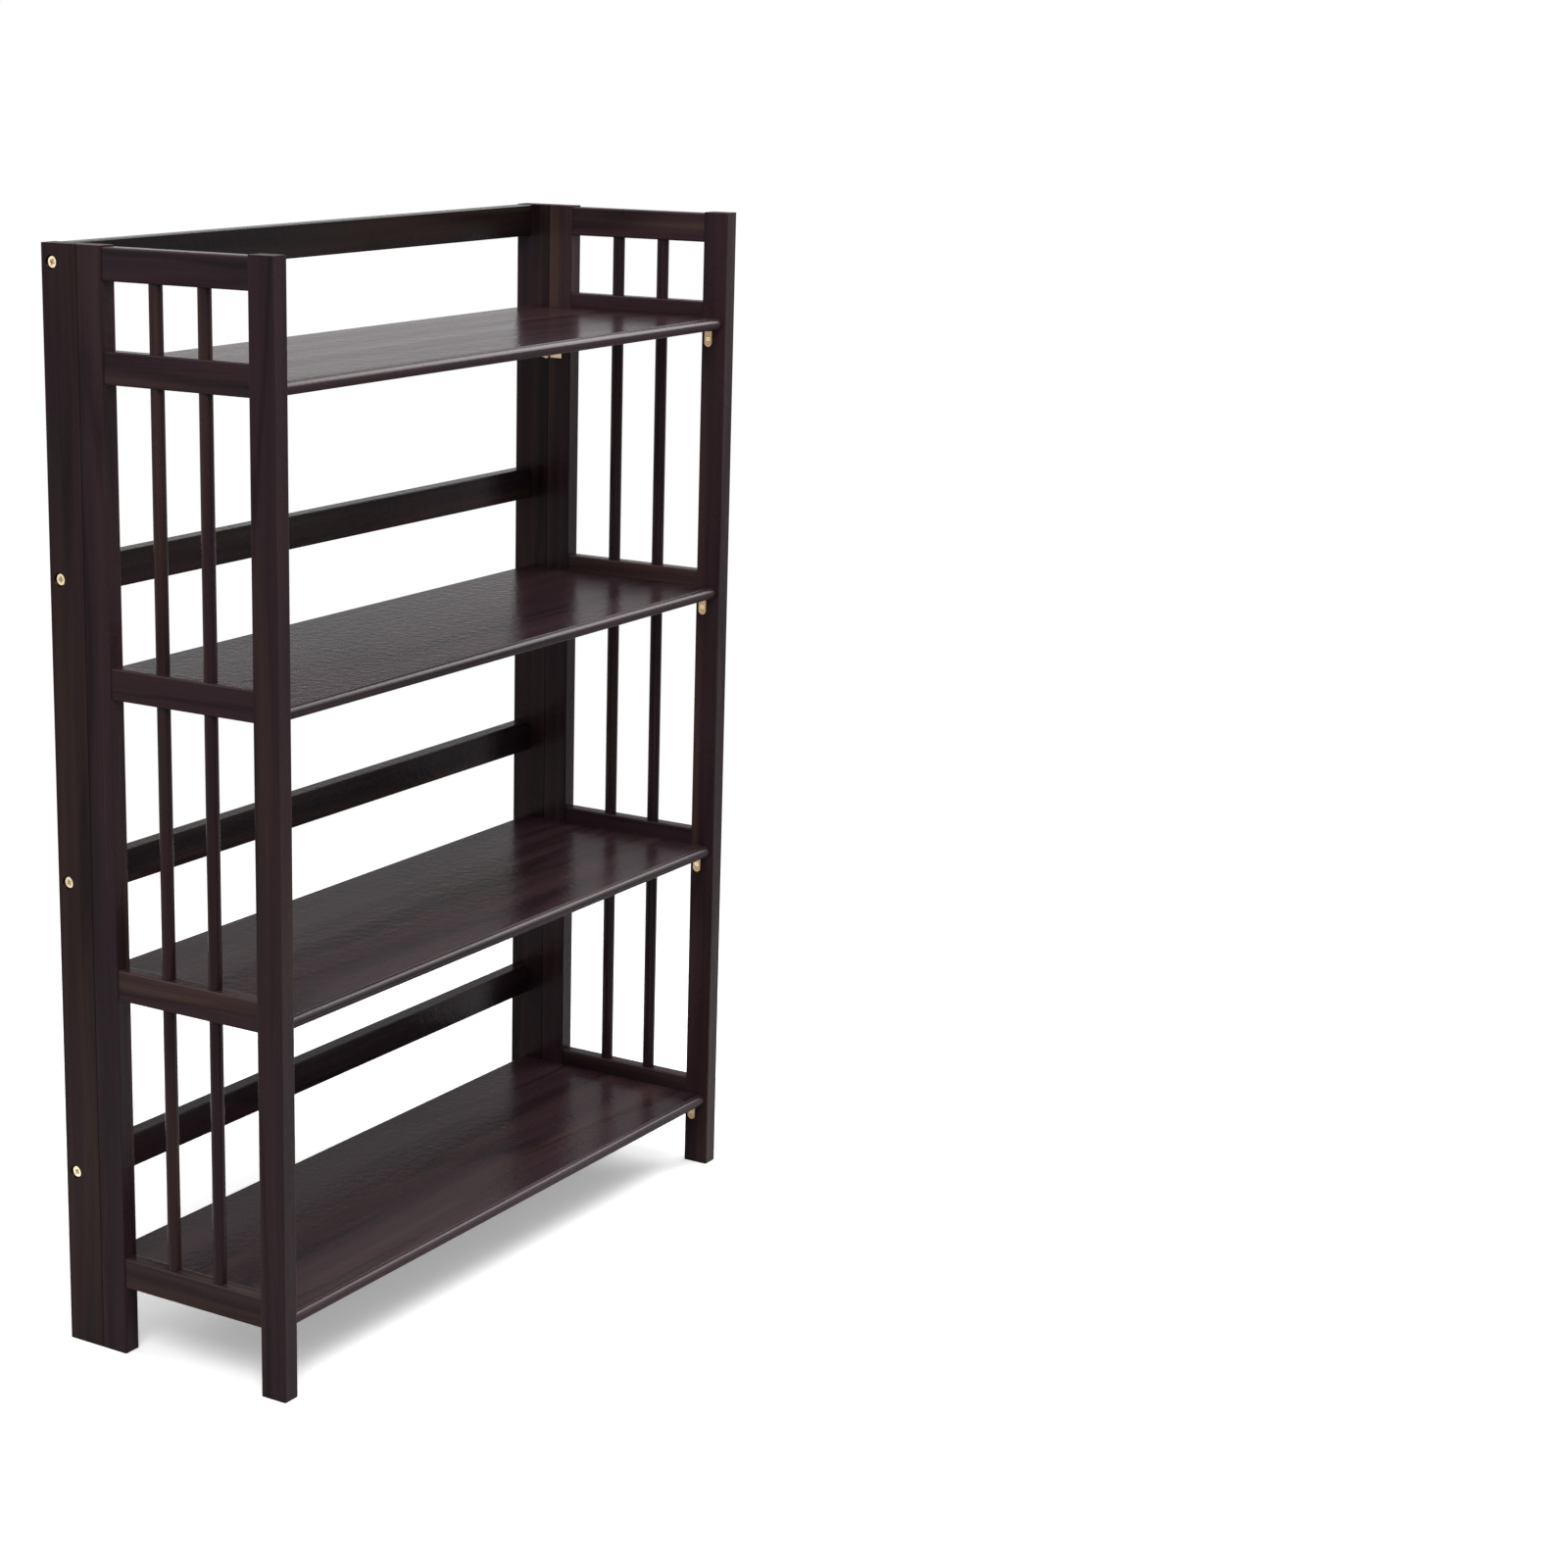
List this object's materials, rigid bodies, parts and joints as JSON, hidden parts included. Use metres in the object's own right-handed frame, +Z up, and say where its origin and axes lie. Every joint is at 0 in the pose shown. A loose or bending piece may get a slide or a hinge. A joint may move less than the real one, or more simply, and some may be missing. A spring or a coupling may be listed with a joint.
{
  "type": "folding bookcase",
  "caption": "Folding wooden bookcase: shelves that lift on pivots and hook onto slatted side frames, which are hinged to rear posts tied by back rails.",
  "frame": {"origin": "middle of the base, on the floor", "axes": "+Z up, +X along the shelves to the right as seen from the front, +Y from the front to the back"},
  "size_m": [0.954, 0.322, 1.283],
  "materials": {
    "post_wood": "dark espresso stain under a semi-gloss lacquer",
    "back_rail_wood": "dark espresso stain under a semi-gloss lacquer",
    "stile_wood": "dark espresso stain under a semi-gloss lacquer",
    "side_rail_wood": "dark espresso stain under a semi-gloss lacquer",
    "dowel_wood": "dark espresso stain under a semi-gloss lacquer",
    "shelf_wood": "dark espresso stain under a semi-gloss lacquer",
    "pivot_steel": "plain drawn steel",
    "hook_brass": "bright brass plating",
    "hinge_brass": "bright brass plating",
    "screw_brass": "bright brass plating"
  },
  "bodies": {
    "frame": {"left_post": "post_wood", "right_post": "post_wood", "back_rail_1": "back_rail_wood", "back_rail_2": "back_rail_wood", "back_rail_3": "back_rail_wood", "back_rail_4": "back_rail_wood", "left_rear_stile": "stile_wood", "left_front_stile": "stile_wood", "right_rear_stile": "stile_wood", "right_front_stile": "stile_wood", "left_top_rail": "side_rail_wood", "left_rail_1": "side_rail_wood", "left_rail_2": "side_rail_wood", "left_rail_3": "side_rail_wood", "left_rail_4": "side_rail_wood", "right_top_rail": "side_rail_wood", "right_rail_1": "side_rail_wood", "right_rail_2": "side_rail_wood", "right_rail_3": "side_rail_wood", "right_rail_4": "side_rail_wood", "left_rear_dowel": "dowel_wood", "left_front_dowel": "dowel_wood", "right_rear_dowel": "dowel_wood", "right_front_dowel": "dowel_wood", "left_hooks": "hook_brass", "right_hooks": "hook_brass", "left_post_leaves": "hinge_brass", "right_post_leaves": "hinge_brass", "left_frame_leaves": "hinge_brass", "right_frame_leaves": "hinge_brass", "left_hinge_pins": "hinge_brass", "right_hinge_pins": "hinge_brass", "back_rail_screws": "screw_brass", "left_hook_screws": "screw_brass", "right_hook_screws": "screw_brass", "left_post_leaf_screws": "screw_brass", "right_post_leaf_screws": "screw_brass", "left_frame_leaf_screws": "screw_brass", "right_frame_leaf_screws": "screw_brass"},
    "shelf_1": {"shelf_1": "shelf_wood", "shelf_1_pivots": "pivot_steel"},
    "shelf_2": {"shelf_2": "shelf_wood", "shelf_2_pivots": "pivot_steel"},
    "shelf_3": {"shelf_3": "shelf_wood", "shelf_3_pivots": "pivot_steel"},
    "shelf_4": {"shelf_4": "shelf_wood", "shelf_4_pivots": "pivot_steel"}
  },
  "joints": [
    {"name": "shelf_1_fold", "type": "hinge", "parent": "frame", "child": "shelf_1", "pos_m": [0, 0.12575, 1.1425], "axis": [-1, 0, 0], "range_deg": [0, 91.5]},
    {"name": "shelf_2_fold", "type": "hinge", "parent": "frame", "child": "shelf_2", "pos_m": [0, 0.12575, 0.792], "axis": [-1, 0, 0], "range_deg": [0, 91.5]},
    {"name": "shelf_3_fold", "type": "hinge", "parent": "frame", "child": "shelf_3", "pos_m": [0, 0.12575, 0.4415], "axis": [-1, 0, 0], "range_deg": [0, 91.5]},
    {"name": "shelf_4_fold", "type": "hinge", "parent": "frame", "child": "shelf_4", "pos_m": [0, 0.12575, 0.091], "axis": [-1, 0, 0], "range_deg": [0, 91.5]}
  ]
}
